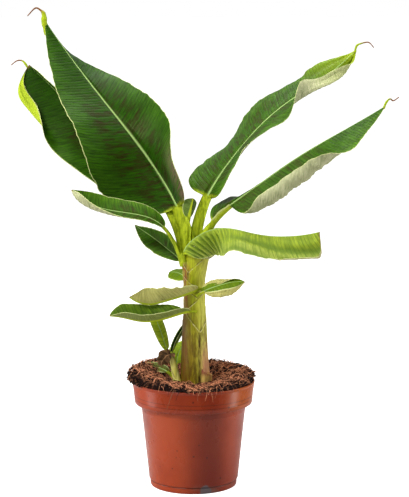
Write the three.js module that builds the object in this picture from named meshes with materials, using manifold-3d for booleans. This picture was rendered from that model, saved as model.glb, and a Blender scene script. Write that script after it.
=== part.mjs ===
// Young banana plant with a side shoot, in a plastic nursery pot filled with coir.
// Millimetres, +Z up, origin at the centre of the pot's flat underside, +Y to the plant's back.

import * as THREE from 'three';
import { mergeVertices } from 'three/addons/utils/BufferGeometryUtils.js';
import Module from 'manifold-3d';

const wasm = await Module();
wasm.setup();

const { lerp, clamp, degToRad } = THREE.MathUtils;

// ---------------------------------------------------------------- driving dimensions

const gap = 0.3; // clearance between neighbouring pieces
const sliver = 0.02; // edges shorter than this are merged after a cut

const pot = {
  height: 121,
  rimRadius: 70, // outer radius at the lip
  collarHeight: 25.7,
  collarRadius: 66.9, // outer radius at the collar's lower edge
  shoulderRadius: 59.2, // outer radius of the body under the collar
  footRadius: 50.4, // outer radius of the body just above the foot
  baseRadius: 49.3,
  baseHeight: 4, // height of the drawn-in foot band
  neck: 8, // height of the upright band under the collar
  wall: 2,
  floor: 3,
  edge: 1, // bevel of its corners
  sides: 40,
};

const soil = {
  level: 119, // soil level where it meets the pot
  ridgeRadius: 48, // the heaped ring lies this far out
  ridgeSpread: 17,
  frontHeap: 2,
  backHeap: 14,
  leftHeap: 3,
  backShare: 1.3, // how closely the heap keeps to the back
  dip: 2, // hollow round the stems
  dipSpread: 24,
  lump: 1.3, // size of the random lumps
  rings: 6,
};

const ground = 112; // level of the flat cuts under the stems
const trunk = {
  foot: [2, 0, ground],
  top: [0.5, 0, 280],
  radius: [16.2, 14.3, 13, 12, 12.2, 15, 6], // from the flare at the foot, by the waist, to the crown
  sides: 24,
  levels: 12,
};
const shoot = {
  foot: [-17, -4, ground],
  top: [-25, -2, 151],
  radius: [4.6, 3.9, 3.4],
  sides: 12,
  levels: 6,
};
const stub = {
  foot: [12.5, -10.5, ground],
  top: [14.5, -11.5, 133],
  radius: [7.5, 6.5, 5.5],
  sides: 14,
  levels: 4,
};

// Leaves. Along each one, from the foot of the petiole to the tip of the blade, short lists of
// evenly spaced values give the compass bearing of the midrib (0 = +X, 90 = +Y), its rise above
// the horizon and the roll about it. Each half of the blade has its greatest width, the angle by
// which it folds up from the midrib and the further angle by which it curls towards its margin.
// Where they are given, start, widest and taper say where along the blade a half begins, where
// it is widest and how bluntly it ends.
const leaves = {
  leaf_tall_left: {
    foot: [-4, 2, 256], petiole: 64, blade: 270, stalk: [10, 6.5],
    bearing: [135, 154, 157], rise: [85, 56, 48, 49, 53], roll: [-80, -41, -39],
    left: { width: 63, widest: 0.28, fold: [-30, -20, 0, 12, 4, 0, -10] },
    right: { width: 42, fold: [76, 76, 33, 10, -16, -55, -90], curl: [-75, -20, 0, 0, 0, 0, 0] },
  },
  leaf_upper_right: {
    foot: [2, 5, 262], petiole: 70, blade: 252, stalk: [8, 5.5], round: 0.38,
    bearing: [49, 23, 22], rise: [91, 56, 44, 30, 42], roll: [90, 27, 15, 75],
    left: { width: 52, fold: [-10, -20, 3, -10, -95], curl: [-23, -26, -25, -46, 57] },
    right: {
      width: 39, widest: 0.45, taper: 2, fold: [42, 21, 9, 20, -36], curl: [7, 27, -16, 90, -29],
    },
  },
  leaf_lower_right: {
    foot: [4, -3, 260], petiole: 47, blade: 233, stalk: [8, 4.5], taper: 1.6,
    bearing: [2, 0, -1], rise: [86, 40, 35, 29, 34], roll: [-20, 0, 0],
    left: { width: 42, widest: 0.5, fold: [70, -15, -35, -45, -55, -60] },
    right: {
      width: 64, start: 0.12, widest: 0.28, taper: 2, fold: [-60, -72, -66, -30, -60],
      curl: [30, 235, 195, 10, 0], curlPower: 2.2,
    },
  },
  leaf_back_left: {
    foot: [-9, 10, 258], petiole: 70, blade: 238, stalk: [7, 4], widest: 0.5,
    bearing: [147, 148, 163], rise: [81, 47, 36, 42, 40], roll: [-50, -50],
    left: {
      width: 49, widest: 0.62, taper: 6, fold: [-40, -10, -5, -5, -5], curl: [0, 0, 0, 140, 230],
      curlPower: 4,
    },
    right: { width: 34, fold: [10, 30, 95, 110] },
  },
  leaf_mid_left: {
    foot: [-11, 0, 252], petiole: 50, blade: 111, stalk: [4, 2.5], widest: 0.5, taper: 3.5,
    bearing: [195, 178, 175], rise: [78, 54, 11, 14, 50], roll: [-9, -33],
    left: { width: 26, widest: 0.7, taper: 5, fold: [-38, 5, 15], curl: [30, 60, 160] },
    right: { width: 16, fold: [32, 26, 31] },
  },
  leaf_front_right: {
    foot: [-11, -9, 258], petiole: 14, blade: 170, stalk: [4, 3.5], widest: 0.35, taper: 25, round: 0.42,
    bearing: [-35, -12, -24, -22, -16], rise: [88, 42, 24, 5, -10, -6, 8, 12, 18], roll: [0],
    left: { width: 36, taper: 6, fold: [-75, -78, -2, -8, -30, -40, -40, -35, -30] },
    right: { width: 25, fold: [-85, -85, -70, -80], curl: [0, 0, -20, 10] },
  },
  leaf_short_left: {
    foot: [-9, 11, 246], petiole: 13, blade: 78, stalk: [3, 2], widest: 0.5,
    bearing: [138, 138, 144], rise: [60, 28, 27, 24, 25], roll: [-26, -69],
    left: { width: 14, fold: [38, -9], curl: [-79, 80] },
    right: { width: 14, fold: [22, 60], curl: [20, 70] },
  },
  leaf_nub: {
    foot: [-6, 8, 230], petiole: 9, blade: 33, stalk: [3, 2], widest: 0.5, taper: 7,
    bearing: [105, 122, 146], rise: [29, 22, 3, -7], roll: [-10],
    left: { width: 10, fold: [-30] },
    right: { width: 9, fold: [10] },
  },
  leaf_low_front: {
    foot: [9, -9.5, 229], petiole: 5, blade: 82, stalk: [3, 2], widest: 0.62, taper: 5, round: 0.6,
    bearing: [-150, -163, -176, -174, -172], rise: [-18, -18, -16, -14, 12, 42], roll: [0],
    left: { width: 18, fold: [45, 50, 80, 85] },
    right: { width: 15, fold: [88, 86, 60, 50] },
  },
  leaf_low_right: {
    foot: [4, -11, 221], petiole: 6, blade: 54, stalk: [3, 2], widest: 0.5, taper: 3,
    bearing: [-40, -12, -10], rise: [30, 22, 14, -4], roll: [0],
    left: { width: 14, widest: 0.3, fold: [90, 90, 50, 10], curl: [90, 110, 60, 0], curlPower: 1.5 },
    right: { width: 23, start: 0.12, fold: [-60], curl: [30, 100, 140] },
  },
  leaf_low_left: {
    foot: [3, -11, 203], petiole: 9, blade: 94, stalk: [3, 2], widest: 0.6, taper: 3, round: 0.6,
    bearing: [-140, -164, -170, -166, -156], rise: [6, -16, -6, 15, 6], roll: [0],
    left: { width: 16, fold: [55, 35, 35] },
    right: { width: 21, fold: [70, 50, 45] },
  },
  shoot_leaf_pale: {
    foot: [-27, -2, 149], petiole: 8, blade: 58, stalk: [2.2, 1.5], widest: 0.5, taper: 2,
    bearing: [-166, -173, -161], rise: [67, 72, 69, 76], roll: [-70],
    left: { width: 9, fold: [-10] },
    right: { width: 9, fold: [10] },
  },
  shoot_leaf_dark: {
    foot: [-25.5, 0, 149], petiole: 10, blade: 46, stalk: [2.2, 1.5], widest: 0.5, taper: 2,
    bearing: [41, 41, 34], rise: [58, 50, 48, 48], roll: [0],
    left: { width: 8, fold: [50], curl: [60] },
    right: { width: 8, fold: [50], curl: [60] },
  },
  shoot_leaf_broad: {
    foot: [-20, -2, 128], petiole: 13, blade: 36, stalk: [2, 1.5], widest: 0.5, taper: 2,
    bearing: [95, 75, 61, 52], rise: [50, 55, 48, 33, 26], roll: [0],
    left: { width: 13, fold: [0] },
    right: { width: 11, fold: [0] },
  },
  ground_leaf: {
    foot: [-18, -1, 121], petiole: 20, blade: 34, stalk: [2, 1.5], widest: 0.5, taper: 2,
    bearing: [125, 128, 161, 157], rise: [30, 16, 2, -20], roll: [-30],
    left: { width: 8, fold: [0] },
    right: { width: 8, fold: [10] },
  },
  dry_sheath: {
    foot: [-27, -4, 150], petiole: 4, blade: 20, stalk: [3, 2.5], widest: 0.4, taper: 3,
    bearing: [190, 200, 215], rise: [50, 10, -70], roll: [-20],
    left: { width: 7, fold: [-30], curl: [-60] },
    right: { width: 6, fold: [20], curl: [50] },
  },
};

const spineSteps = 120; // straight steps that make up a midrib
const bladeSteps = 8; // straight steps that make up half a cross-section
const slenderness = 100; // a leaf's length over its thickness
const thinnest = 1.2;
const bladeOpening = 0.05; // share of the blade over which its section opens at each end
const ribShare = 0.3; // share of half a section over which it turns up from the midrib
const channelDepth = 0.35; // depth of the petiole's groove as a share of its radius
const ribTip = 0.6; // radius of the midrib at the tip
const ribSpread = [0.5, 9]; // roundness of the petiole, sharpness of the rib under the blade
const baseCrowding = 1.5; // how much closer the sections lie at the base of a blade
const fine = { across: [1, 0.88, 0.72, 0.45, 0.15, 0], petiole: 4, blade: 12 }; // sections
const coarse = { across: [1, 0.6, 0.2, 0], petiole: 2, blade: 8 };
const longBlade = 150; // blades over this length get the fine sections

const colours = {
  pot: { color: 0xb4522f, roughness: 0.35 },
  soil: { color: 0x5a3422, roughness: 1 },
  stem: { color: 0x9aa03a, roughness: 0.55 },
  cut: { color: 0x9c8648, roughness: 0.8 },
  leaf: { color: 0x2f5a1c, roughness: 0.45 },
  fresh: { color: 0x8aa83a, roughness: 0.5 },
  dry: { color: 0x4a2f1e, roughness: 0.95 },
};
const freshLeaves = ['leaf_front_right', 'leaf_low_front', 'leaf_low_right', 'shoot_leaf_pale'];

// ---------------------------------------------------------------- solids from meshes

function solidOf(geometry) {
  const bare = geometry.clone();
  bare.deleteAttribute('normal');
  bare.deleteAttribute('uv');
  const merged = mergeVertices(bare, 1e-3);
  const mesh = new wasm.Mesh({
    numProp: 3,
    vertProperties: new Float32Array(merged.attributes.position.array),
    triVerts: new Uint32Array(merged.index.array),
  });
  return new wasm.Manifold(mesh);
}

function geometryOf(solid) {
  const mesh = solid.getMesh();
  const geometry = new THREE.BufferGeometry();
  geometry.setAttribute('position', new THREE.BufferAttribute(new Float32Array(mesh.vertProperties), 3));
  geometry.setIndex(new THREE.BufferAttribute(new Uint32Array(mesh.triVerts), 1));
  geometry.computeVertexNormals();
  return geometry;
}

// The tool that clears a piece: the same skin with each corner moved out until all the faces
// that meet there have moved out by the gap.
function clearanceOf(geometry) {
  const moved = geometry.clone();
  const { position } = moved.attributes;
  const corners = Array.from({ length: position.count }, (_, i) => ({
    point: new THREE.Vector3().fromBufferAttribute(position, i),
    normals: [],
  }));
  const index = moved.index.array;
  for (let i = 0; i < index.length; i += 3) {
    const face = [index[i], index[i + 1], index[i + 2]].map((k) => corners[k]);
    const normal = new THREE.Triangle(...face.map((corner) => corner.point)).getNormal(new THREE.Vector3());
    face.forEach((corner) => corner.normals.push(normal));
  }
  corners.forEach(({ point, normals }, i) => {
    const outward = normals.reduce((sum, normal) => sum.add(normal), new THREE.Vector3()).normalize();
    const least = Math.min(...normals.map((normal) => normal.dot(outward)));
    position.setXYZ(i, ...point.clone().addScaledVector(outward, gap / Math.max(least, 0.4)));
  });
  return solidOf(moved);
}

// Cuts the tools off a solid and keeps the largest body of what is left, without slivers.
function cutClear(solid, tools) {
  const rest = tools.reduce((left, tool) => left.subtract(tool), solid);
  const bodies = rest.simplify(sliver).decompose();
  return bodies.reduce((largest, body) => (body.volume() > largest.volume() ? body : largest));
}

// A closed skin over rings of equal count; each ring runs clockwise seen along the direction
// of travel, and both ends are closed by fans.
function loft(rings) {
  const count = rings[0].length;
  const points = rings.flat();
  const faces = [];
  for (let i = 0; i + 1 < rings.length; i += 1) {
    for (let j = 0; j < count; j += 1) {
      const a = i * count + j;
      const b = i * count + ((j + 1) % count);
      faces.push(a, b, b + count, a, b + count, a + count);
    }
  }
  const lastRing = (rings.length - 1) * count;
  const startHub = points.push(middleOf(rings[0])) - 1;
  const endHub = points.push(middleOf(rings.at(-1))) - 1;
  for (let j = 0; j < count; j += 1) {
    const next = (j + 1) % count;
    faces.push(startHub, next, j);
    faces.push(endHub, lastRing + j, lastRing + next);
  }
  const geometry = new THREE.BufferGeometry().setFromPoints(points);
  geometry.setIndex(faces);
  geometry.computeVertexNormals();
  return geometry;
}

function middleOf(ring) {
  const sum = ring.reduce((total, point) => total.add(point), new THREE.Vector3());
  return sum.divideScalar(ring.length);
}

// Value at t (0..1) of a smooth curve through evenly spaced values.
function along(values, t) {
  const last = values.length - 1;
  if (last === 0) return values[0];
  if (last === 1) return lerp(values[0], values[1], t);
  const x = clamp(t, 0, 1) * last;
  const i = Math.min(Math.floor(x), last - 1);
  const f = x - i;
  const p0 = i > 0 ? values[i - 1] : 2 * values[0] - values[1];
  const p1 = values[i];
  const p2 = values[i + 1];
  const p3 = i + 2 <= last ? values[i + 2] : 2 * values[last] - values[last - 1];
  const squared = 2 * p0 - 5 * p1 + 4 * p2 - p3;
  const cubed = 3 * p1 - p0 - 3 * p2 + p3;
  return 0.5 * (2 * p1 + (p2 - p0) * f + squared * f * f + cubed * f * f * f);
}

// ---------------------------------------------------------------- pot and soil

// Closed half-section of the pot's wall, from the axis along the underside, up the outside,
// over the lip and back down the inside.
function potProfile() {
  const { height, rimRadius, collarHeight, collarRadius, shoulderRadius, footRadius } = pot;
  const { baseRadius, baseHeight, neck, wall, floor, edge } = pot;
  const collarFoot = height - collarHeight;
  return [
    [0, 0],
    [baseRadius - edge, 0],
    [baseRadius, edge],
    [baseRadius, baseHeight - edge],
    [footRadius, baseHeight],
    [shoulderRadius, collarFoot - neck],
    [shoulderRadius, collarFoot - edge],
    [collarRadius - edge, collarFoot],
    [collarRadius, collarFoot + edge],
    [rimRadius, height - edge],
    [rimRadius - wall / 2, height],
    ...potInside().reverse(),
    [0, floor],
  ];
}

// Inner face of the pot's wall, from the floor up to the lip.
function potInside() {
  const { height, rimRadius, collarHeight, collarRadius, shoulderRadius, footRadius } = pot;
  const { neck, wall, floor, edge } = pot;
  const collarFoot = height - collarHeight;
  return [
    [footRadius - wall - edge, floor],
    [footRadius - wall, floor + edge],
    [shoulderRadius - wall, collarFoot - neck],
    [shoulderRadius - wall, collarFoot + wall],
    [collarRadius - wall, collarFoot + wall + edge],
    [rimRadius - wall, height - edge],
  ];
}

function potGeometry() {
  const profile = potProfile().map(([radius, z]) => new THREE.Vector2(radius, z));
  return new THREE.LatheGeometry(profile, pot.sides).rotateX(Math.PI / 2);
}

// A repeatable number between -1 and 1 for each pair of whole numbers.
function lumpAt(i, j) {
  const mixed = Math.sin(i * 12.9898 + j * 78.233) * 43758.5453;
  return 2 * (mixed - Math.floor(mixed)) - 1;
}

// Height of the heaped soil: low in front and round the stems, higher at the back and left.
function soilHeight(radius, angle) {
  const back = (1 + Math.sin(angle)) / 2;
  const left = Math.max(0, -Math.cos(angle));
  const heap = soil.frontHeap + soil.backHeap * back ** soil.backShare + soil.leftHeap * left;
  const ridge = Math.exp(-(((radius - soil.ridgeRadius) / soil.ridgeSpread) ** 2));
  const hollow = Math.exp(-((radius / soil.dipSpread) ** 2));
  return soil.level - soil.dip * hollow + heap * ridge;
}

function soilGeometry() {
  const walls = potInside().slice(0, -1).map(([radius, z]) => [radius - gap, z + gap]);
  const edge = pot.rimRadius - pot.wall - 1.5 * gap; // the wall leans out a little here
  const ringAt = (radiusOf, heightOf) => {
    const ring = [];
    for (let j = 0; j < pot.sides; j += 1) {
      const angle = (2 * Math.PI * j) / pot.sides;
      const radius = radiusOf(j);
      ring.push(new THREE.Vector3(
        radius * Math.cos(angle), radius * Math.sin(angle), heightOf(radius, angle, j)));
    }
    return ring;
  };
  const rings = walls.map(([radius, z]) => ringAt(() => radius, () => z));
  for (let k = 0; k < soil.rings; k += 1) {
    const reach = edge * (1 - k / soil.rings);
    const rough = k === 0 ? 0 : soil.lump;
    const surface = (radius, angle, j) => soilHeight(radius, angle) + rough * lumpAt(j, k);
    rings.push(ringAt(() => reach, surface));
  }
  return loft(rings);
}

// ---------------------------------------------------------------- stems

// A tapering stem on a flat cut, with level rings from its foot to its top.
function stemGeometry(stem) {
  const foot = new THREE.Vector3(...stem.foot);
  const top = new THREE.Vector3(...stem.top);
  const rings = [];
  for (let i = 0; i <= stem.levels; i += 1) {
    const t = i / stem.levels;
    const centre = foot.clone().lerp(top, t);
    const radius = along(stem.radius, t);
    const ring = [];
    for (let j = 0; j < stem.sides; j += 1) {
      const angle = (2 * Math.PI * j) / stem.sides;
      ring.push(new THREE.Vector3(radius * Math.cos(angle), radius * Math.sin(angle), 0).add(centre));
    }
    rings.push(ring);
  }
  return loft(rings);
}

// ---------------------------------------------------------------- leaves

function heading(leaf, s) {
  const bearing = degToRad(along(leaf.bearing, s));
  const rise = degToRad(along(leaf.rise, s));
  return new THREE.Vector3(
    Math.cos(rise) * Math.cos(bearing), Math.cos(rise) * Math.sin(bearing), Math.sin(rise));
}

function spineOf(leaf) {
  const step = (leaf.petiole + leaf.blade) / spineSteps;
  const points = [new THREE.Vector3(...leaf.foot)];
  for (let i = 0; i < spineSteps; i += 1) {
    points.push(points[i].clone().addScaledVector(heading(leaf, (i + 0.5) / spineSteps), step));
  }
  return points;
}

// Place and directions of the midrib at s (0..1): forward, across to the left, and up out of
// the blade's upper face.
function stationAt(leaf, spine, s) {
  const x = clamp(s, 0, 1) * spineSteps;
  const i = Math.min(Math.floor(x), spineSteps - 1);
  const point = spine[i].clone().lerp(spine[i + 1], x - i);
  const forward = heading(leaf, s);
  const bearing = degToRad(along(leaf.bearing, s));
  const level = new THREE.Vector3(-Math.sin(bearing), Math.cos(bearing), 0);
  const roll = degToRad(along(leaf.roll, s));
  const across = level.clone().applyAxisAngle(forward, roll);
  const up = forward.clone().cross(across);
  return { point, forward, across, up };
}

// Width of half a blade, a given share (0..1) of the way along it, over its greatest width.
function bladeWidth(leaf, half, share) {
  const widest = half.widest ?? leaf.widest ?? 0.4;
  const taper = half.taper ?? leaf.taper ?? 1.9;
  const start = half.start ?? 0;
  const t = Math.max(0, (share - start) / (1 - start));
  if (t < widest) return (1 - (1 - t / widest) ** 2) ** (leaf.round ?? 0.5);
  return 1 - ((t - widest) / (1 - widest)) ** taper;
}

// Point and upper normal of the blade's middle surface at u, from 1 at the left margin over 0
// at the midrib to -1 at the right margin.
function bladePoint(leaf, station, t, u) {
  const hand = u < 0 ? -1 : 1;
  const half = u < 0 ? leaf.right : leaf.left;
  const width = half.width * bladeWidth(leaf, half, t);
  const fold = degToRad(along(half.fold, t));
  const curl = degToRad(along(half.curl ?? [0], t));
  const slope = (v) => fold + curl * v ** (half.curlPower ?? 2);
  const point = station.point.clone();
  const step = Math.abs(u) / bladeSteps;
  for (let k = 0; k < bladeSteps; k += 1) {
    const angle = slope((k + 0.5) * step);
    point.addScaledVector(station.across, hand * Math.cos(angle) * width * step);
    point.addScaledVector(station.up, Math.sin(angle) * width * step);
  }
  const open = Math.min(t / bladeOpening, (1 - t) / bladeOpening, Math.abs(u) / ribShare, 1);
  const tilt = open * slope(Math.abs(u));
  const normal = station.across.clone().multiplyScalar(-hand * Math.sin(tilt));
  normal.addScaledVector(station.up, Math.cos(tilt));
  return { point, normal };
}

// One leaf as a closed loft: a half-round petiole that runs on as the midrib under a thin blade.
function leafGeometry(leaf) {
  const long = leaf.petiole + leaf.blade;
  const spine = spineOf(leaf);
  const thick = Math.max(long / slenderness, thinnest);
  const sections = leaf.blade > longBlade ? fine : coarse;
  const { across } = sections;
  const u = [...across, ...across.slice(0, -1).reverse().map((value) => -value)];
  const stations = [];
  for (let i = 0; i < sections.petiole; i += 1) {
    stations.push((i / sections.petiole) * leaf.petiole);
  }
  for (let i = 0; i <= sections.blade; i += 1) {
    stations.push(leaf.petiole + leaf.blade * (i / sections.blade) ** baseCrowding);
  }
  const rings = stations.map((distance) => {
    const station = stationAt(leaf, spine, distance / long);
    const t = Math.max(0, (distance - leaf.petiole) / leaf.blade);
    const inPetiole = Math.min(distance / leaf.petiole, 1);
    const radius = lerp(lerp(leaf.stalk[0], leaf.stalk[1], inPetiole), ribTip, t);
    const narrow = lerp(...ribSpread, Math.min(4 * t, 1)); // it draws in over a quarter of the blade
    const face = (value, upper) => {
      const { point, normal } = bladePoint(leaf, station, t, value);
      const rib = radius * (1 - value * value) ** narrow;
      point.addScaledVector(station.across, radius * value);
      point.addScaledVector(station.up, -rib * (upper ? channelDepth : 1));
      return point.addScaledVector(normal, upper ? thick / 2 : -thick / 2);
    };
    return [...u.map((value) => face(value, true)), ...u.toReversed().map((value) => face(value, false))];
  });
  return loft(rings);
}

// ---------------------------------------------------------------- the plant

const plant = new THREE.Group();

function add(name, geometry, look) {
  const material = new THREE.MeshStandardMaterial({ ...look, metalness: 0, side: THREE.FrontSide });
  const mesh = new THREE.Mesh(geometry, material);
  mesh.name = name;
  plant.add(mesh);
}

add('pot', potGeometry(), colours.pot);

const tools = [];
function addCut(name, geometry, look) {
  add(name, geometryOf(cutClear(solidOf(geometry), tools)), look);
  tools.push(clearanceOf(geometry));
}

addCut('pseudostem', stemGeometry(trunk), colours.stem);
addCut('shoot_stem', stemGeometry(shoot), colours.stem);
addCut('cut_stub', stemGeometry(stub), colours.cut);
for (const [name, leaf] of Object.entries(leaves)) {
  const fresh = freshLeaves.includes(name);
  const look = name === 'dry_sheath' ? colours.dry : fresh ? colours.fresh : colours.leaf;
  addCut(name, leafGeometry(leaf), look);
}
addCut('soil', soilGeometry(), colours.soil);

export default plant;
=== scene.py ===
# Young banana plant in a plastic nursery pot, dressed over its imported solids.
# Lengths in the dictionaries are millimetres, angles are degrees.

import math
import random

import bpy
import numpy as np
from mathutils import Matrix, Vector, noise


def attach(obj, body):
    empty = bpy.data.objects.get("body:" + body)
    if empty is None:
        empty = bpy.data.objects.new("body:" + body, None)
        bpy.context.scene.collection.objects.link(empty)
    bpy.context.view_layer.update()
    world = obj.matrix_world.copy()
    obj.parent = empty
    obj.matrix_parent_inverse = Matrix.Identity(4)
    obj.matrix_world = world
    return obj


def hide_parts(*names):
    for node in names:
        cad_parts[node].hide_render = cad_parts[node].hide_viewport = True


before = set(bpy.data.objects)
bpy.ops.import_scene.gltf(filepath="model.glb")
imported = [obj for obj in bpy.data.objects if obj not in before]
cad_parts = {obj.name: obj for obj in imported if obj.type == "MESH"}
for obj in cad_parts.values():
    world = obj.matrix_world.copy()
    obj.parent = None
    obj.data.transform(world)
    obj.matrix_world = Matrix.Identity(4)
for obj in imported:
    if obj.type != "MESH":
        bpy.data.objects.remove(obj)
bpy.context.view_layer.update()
bpy.ops.object.select_all(action="DESELECT")
scene = bpy.context.scene
scene.view_settings.view_transform = "Standard"

mm = 0.001


def tone(red, green, blue):  # a display colour, 0 to 255, as a linear one
    def linear(value):
        value /= 255
        return value / 12.92 if value <= 0.04045 else ((value + 0.055) / 1.055) ** 2.4
    return (linear(red), linear(green), linear(blue), 1.0)


def tones(**shades):
    return {key: tone(*shade) for key, shade in shades.items()}


def lerp(a, b, t):
    return a + (b - a) * t


def clamp(value, low=0.0, high=1.0):
    return max(low, min(high, value))


def smooth(low, high, value):  # 0 under low, 1 over high, eased between
    t = np.clip((value - low) / (high - low), 0.0, 1.0)
    return t * t * (3 - 2 * t)


def along(values, t):  # smooth curve through evenly spaced values
    last = len(values) - 1
    if last == 0:
        return values[0]
    if last == 1:
        return lerp(values[0], values[1], t)
    x = clamp(t) * last
    i = min(int(x), last - 1)
    f = x - i
    p0 = values[i - 1] if i > 0 else 2 * values[0] - values[1]
    p1, p2 = values[i], values[i + 1]
    p3 = values[i + 2] if i + 2 <= last else 2 * values[last] - values[last - 1]
    squared = 2 * p0 - 5 * p1 + 4 * p2 - p3
    cubed = 3 * p1 - p0 - 3 * p2 + p3
    return 0.5 * (2 * p1 + (p2 - p0) * f + squared * f * f + cubed * f * f * f)


def polar(radius, angle):
    return radius * math.cos(angle), radius * math.sin(angle)


def ripple(x, y, z, size):  # smooth noise from -1 to 1, size is its grain
    return noise.noise(Vector((x / size, y / size, z / size)))


def makeMesh(name, points, faces, materials, slots=None):
    mesh = bpy.data.meshes.new(name)
    mesh.from_pydata([tuple(p) for p in np.asarray(points) * mm], [], faces)
    for material in materials:
        mesh.materials.append(material)
    if slots is not None:
        mesh.polygons.foreach_set("material_index", slots)
    mesh.polygons.foreach_set("use_smooth", [True] * len(mesh.polygons))
    mesh.update()
    made = bpy.data.objects.new(name, mesh)
    scene.collection.objects.link(made)
    return made


def setAttribute(made, name, values):
    attribute = made.data.attributes.new(name, "FLOAT", "POINT")
    attribute.data.foreach_set("value", np.asarray(values, dtype=np.float32))


def setMap(made, name, pairs):  # a UV map from one pair for each vertex
    layer = made.data.uv_layers.new(name=name)
    corners = np.zeros(len(made.data.loops), dtype=np.int64)
    made.data.loops.foreach_get("vertex_index", corners)
    layer.data.foreach_set("uv", np.asarray(pairs, dtype=np.float32)[corners].ravel())


def onlySelect(made):
    bpy.ops.object.select_all(action="DESELECT")
    made.select_set(True)
    bpy.context.view_layer.objects.active = made


def keepSharp(made, angle):
    onlySelect(made)
    bpy.ops.object.shade_smooth_by_angle(angle=math.radians(angle))
    made.select_set(False)


def tubeFaces(start, levels, sides):  # quads between rings of points
    faces = []
    for i in range(levels):
        for j in range(sides):
            a, b = start + i * sides + j, start + i * sides + (j + 1) % sides
            faces.append((a, b, b + sides, a + sides))
    return faces


def finishPiece(made, *nodes, slot):
    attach(made, "root")
    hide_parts(*nodes)


def newMaterial(name):
    material = bpy.data.materials.new(name)
    material.use_nodes = True
    return material, material.node_tree, material.node_tree.nodes["Principled BSDF"]


def fill(tree, node, inputs):  # links the sockets among the inputs and sets the plain values
    for key, value in inputs.items():
        if isinstance(value, bpy.types.NodeSocket):
            tree.links.new(value, node.inputs[key])
        else:
            node.inputs[key].default_value = value
    return node


def add(tree, kind, inputs=None, **settings):
    made = tree.nodes.new(kind)
    for key, value in settings.items():
        setattr(made, key, value)
    return fill(tree, made, inputs or {})


def mathNode(tree, operation, first, second):
    return add(tree, "ShaderNodeMath", {0: first, 1: second}, operation=operation).outputs[0]


def product(tree, first, second):
    return mathNode(tree, "MULTIPLY", first, second)


def between(tree, value, low, high, out=(0.0, 1.0)):  # eased step from low to high
    return add(tree, "ShaderNodeMapRange",
               {"Value": value, "From Min": low, "From Max": high,
                "To Min": out[0], "To Max": out[1]},
               interpolation_type="SMOOTHSTEP").outputs["Result"]


def blend(tree, share, first, second):  # colour mix
    return add(tree, "ShaderNodeMix", {0: share, 6: first, 7: second}, data_type="RGBA").outputs[2]


def readValue(tree, name):
    return add(tree, "ShaderNodeAttribute", attribute_name=name).outputs["Fac"]


def scaled(tree, vector, factors):
    return add(tree, "ShaderNodeVectorMath", {0: vector, 1: factors}, operation="MULTIPLY").outputs[0]


def grain(tree, vector, scale, detail=2.0, rough=0.5):
    return add(tree, "ShaderNodeTexNoise",
               {"Vector": vector, "Scale": scale, "Detail": detail, "Roughness": rough}).outputs["Fac"]


def objectPlace(tree):
    return add(tree, "ShaderNodeTexCoord").outputs["Object"]


def newGroup(name, inputs, outputs):
    tree = bpy.data.node_groups.new(name, "ShaderNodeTree")
    for label, kind, value in inputs:
        socket = tree.interface.new_socket(label, in_out="INPUT", socket_type=kind)
        if value is not None:
            socket.default_value = value
    for label, kind in outputs:
        tree.interface.new_socket(label, in_out="OUTPUT", socket_type=kind)
    return tree, tree.nodes.new("NodeGroupInput"), tree.nodes.new("NodeGroupOutput")


def useGroup(tree, group, inputs):
    return add(tree, "ShaderNodeGroup", inputs, node_tree=group)


def paint(tree, body, *layers):  # lays each mask and colour over the ones before
    for mask, colour in layers:
        body = blend(tree, mask, body, colour)
    return body


def dress(tree, shader, inputs, height, strength, distance):  # shader inputs and bump
    fill(tree, shader, inputs)
    bump = add(tree, "ShaderNodeBump", {"Strength": strength, "Distance": distance, "Height": height})
    tree.links.new(bump.outputs["Normal"], shader.inputs["Normal"])


# Camera, floor and light.
view = {"place": (12.6, -1900, 540), "tilt": 8.04, "lens": 123.3}
bpy.ops.object.camera_add(
    location=[value * mm for value in view["place"]],
    rotation=(math.radians(90 - view["tilt"]), 0, 0))
camera = bpy.context.object
camera.data.lens = view["lens"]
camera.data.sensor_width = 36
camera.data.clip_end = 200
scene.camera = camera
camera.select_set(False)

studio = {
    "floorSize": 120,  # metres, as is its middle
    "floorMiddle": (0, 30, 0),
    "floorColour": tone(205, 205, 205),
    "floorGlow": 0.93,  # keeps the paper white to the camera
    "air": {"seen": 1.0, "back": 0.34, "front": 0.1},
    "lights": {  # place and target in metres, size in metres, power in watts
        "keySoftbox": {"place": (-1.1, -1.3, 1.7), "target": (0, 0, 0.25),
            "size": (0.9, 0.9), "power": 46},
        "topSoftbox": {"place": (0.1, 0.3, 1.7), "target": (0, 0, 0.3),
            "size": (1.4, 1.4), "power": 26},
        "leftStrip": {"place": (-1.3, -0.1, 0.45), "target": (0, 0, 0.25),
            "size": (0.35, 1.4), "power": 11},
        "rightStrip": {"place": (1.3, -0.2, 0.5), "target": (0, 0, 0.25),
            "size": (0.35, 1.4), "power": 12},
    },
}


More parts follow.
